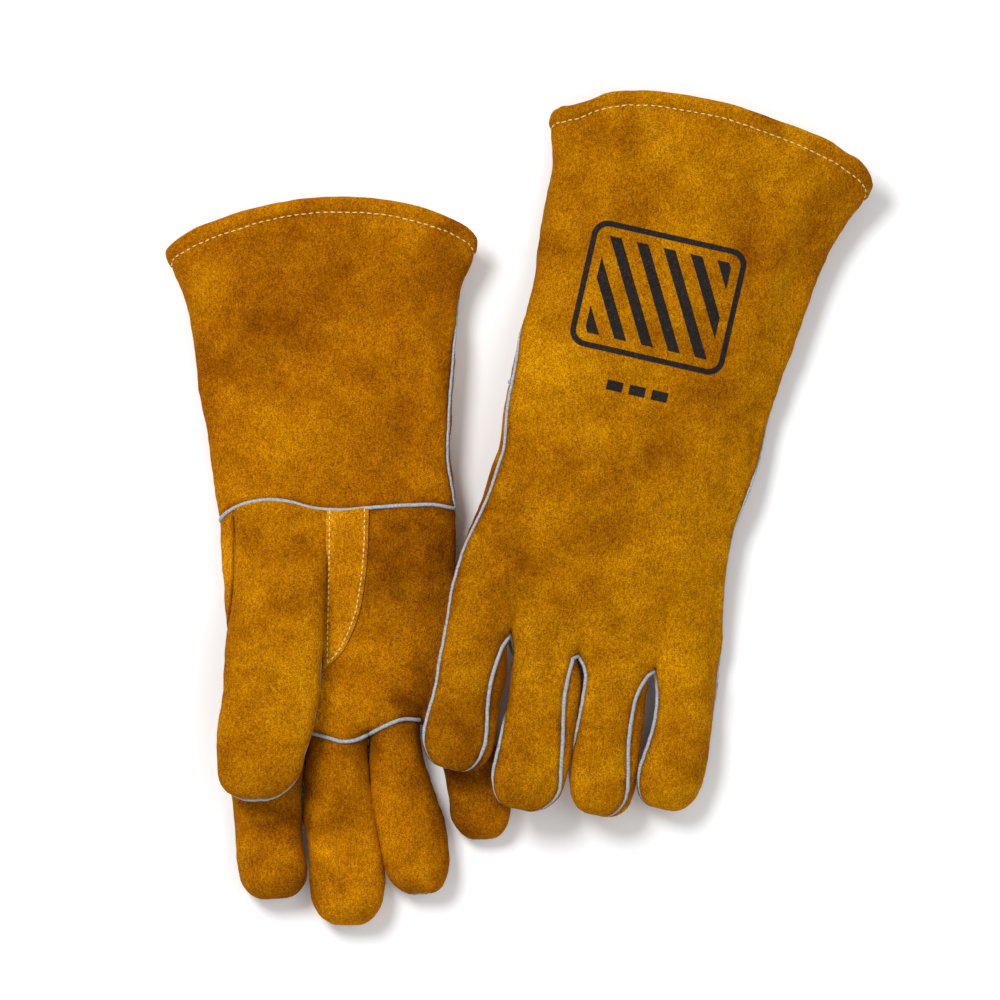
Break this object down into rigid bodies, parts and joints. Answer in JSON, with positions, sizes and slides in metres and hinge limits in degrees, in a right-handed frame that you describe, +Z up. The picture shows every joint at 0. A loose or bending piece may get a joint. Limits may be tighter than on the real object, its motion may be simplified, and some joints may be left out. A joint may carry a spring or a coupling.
{
  "type": "pair of welding gloves",
  "caption": "Long-cuffed suede leather welding gloves, one lying palm up and the other back up across its edge, with welted seams, a thumb strap and a stitched hem.",
  "frame": {"origin": "on the resting surface, under the middle of the pair's bounding box", "axes": "+Z up from the surface, +Y towards the cuffs, +X towards the glove that lies back up"},
  "size_m": [0.3402, 0.4004, 0.045],
  "materials": {
    "back_suede": "golden brown split suede with a soft nap",
    "palm_suede": "darker golden brown split suede, rubbed",
    "strap_suede": "lighter golden suede strap",
    "welt": "pale blue-grey welting leather",
    "thread": "cream aramid-type sewing thread",
    "fleece": "off-white cotton fleece",
    "canvas": "grey-blue cotton canvas"
  },
  "bodies": {
    "right_glove": {"right_back_panel": "back_suede", "right_cuff_front": "back_suede", "right_palm_panel": "palm_suede", "right_cuff_lining": "canvas", "right_hand_lining": "fleece", "right_wrist_welt": "welt", "right_finger_base_welt": "welt", "right_index_side_welt": "welt", "right_little_side_welt": "welt", "right_hem_stitching": "thread", "right_thumb_strap": "strap_suede", "right_strap_stitching": "thread", "right_thumb_root": "palm_suede", "right_little_back": "back_suede", "right_little_front": "palm_suede", "right_little_welt": "welt"},
    "left_glove": {"left_back_panel": "back_suede", "left_cuff_front": "back_suede", "left_palm_panel": "palm_suede", "left_cuff_lining": "canvas", "left_hand_lining": "fleece", "left_wrist_welt": "welt", "left_finger_base_welt": "welt", "left_index_side_welt": "welt", "left_little_side_welt": "welt", "left_hem_stitching": "thread", "left_thumb_strap": "strap_suede", "left_strap_stitching": "thread", "left_thumb_root": "palm_suede", "left_thumb_front": "palm_suede", "left_thumb_back": "back_suede", "left_thumb_welt": "welt"},
    "right_index": {"right_index_back": "back_suede", "right_index_front": "palm_suede", "right_index_welt": "welt"},
    "right_middle": {"right_middle_back": "back_suede", "right_middle_front": "palm_suede", "right_middle_welt": "welt"},
    "right_ring": {"right_ring_back": "back_suede", "right_ring_front": "palm_suede", "right_ring_welt": "welt"},
    "right_thumb": {"right_thumb_back": "back_suede", "right_thumb_front": "palm_suede", "right_thumb_welt": "welt"},
    "left_index": {"left_index_back": "back_suede", "left_index_front": "palm_suede", "left_index_welt": "welt"},
    "left_middle": {"left_middle_back": "back_suede", "left_middle_front": "palm_suede", "left_middle_welt": "welt"},
    "left_ring": {"left_ring_back": "back_suede", "left_ring_front": "palm_suede", "left_ring_welt": "welt"},
    "left_little": {"left_little_back": "back_suede", "left_little_front": "palm_suede", "left_little_welt": "welt"}
  },
  "joints": [
    {"name": "left_glove_lift", "type": "slide", "parent": "right_glove", "child": "left_glove", "axis": [0, 0, 1], "range_m": [0, 0.12]},
    {"name": "right_index_bend", "type": "hinge", "parent": "right_glove", "child": "right_index", "pos_m": [-0.12314, -0.10787, 0.0219], "axis": [-0.9991, -0.0419, 0], "range_deg": [0, 45]},
    {"name": "right_middle_bend", "type": "hinge", "parent": "right_glove", "child": "right_middle", "pos_m": [-0.08787, -0.10639, 0.0224], "axis": [-0.9991, -0.0419, 0], "range_deg": [0, 60]},
    {"name": "right_ring_bend", "type": "hinge", "parent": "right_glove", "child": "right_ring", "pos_m": [-0.0618, -0.1053, 0.0219], "axis": [-0.9991, -0.0419, 0], "range_deg": [0, 60]},
    {"name": "right_thumb_lift", "type": "hinge", "parent": "right_glove", "child": "right_thumb", "pos_m": [-0.11792, -0.05811, 0.0446], "axis": [-0.9991, -0.0419, 0], "range_deg": [0, 45]},
    {"name": "left_index_bend", "type": "hinge", "parent": "left_glove", "child": "left_index", "pos_m": [-0.02196, -0.05601, 0.04562], "axis": [-0.9751, 0.2215, 0], "range_deg": [0, 35]},
    {"name": "left_middle_bend", "type": "hinge", "parent": "left_glove", "child": "left_middle", "pos_m": [0.01041, -0.06336, 0.03931], "axis": [-0.9751, 0.2215, 0], "range_deg": [0, 35]},
    {"name": "left_ring_bend", "type": "hinge", "parent": "left_glove", "child": "left_ring", "pos_m": [0.04649, -0.07156, 0.03228], "axis": [-0.9751, 0.2215, 0], "range_deg": [0, 35]},
    {"name": "left_little_bend", "type": "hinge", "parent": "left_glove", "child": "left_little", "pos_m": [0.08062, -0.07931, 0.02563], "axis": [-0.9751, 0.2215, 0], "range_deg": [0, 35]}
  ],
  "couplings": [
    {"joint": "right_index_bend", "follows": "right_thumb_lift", "ratio": 1}
  ]
}
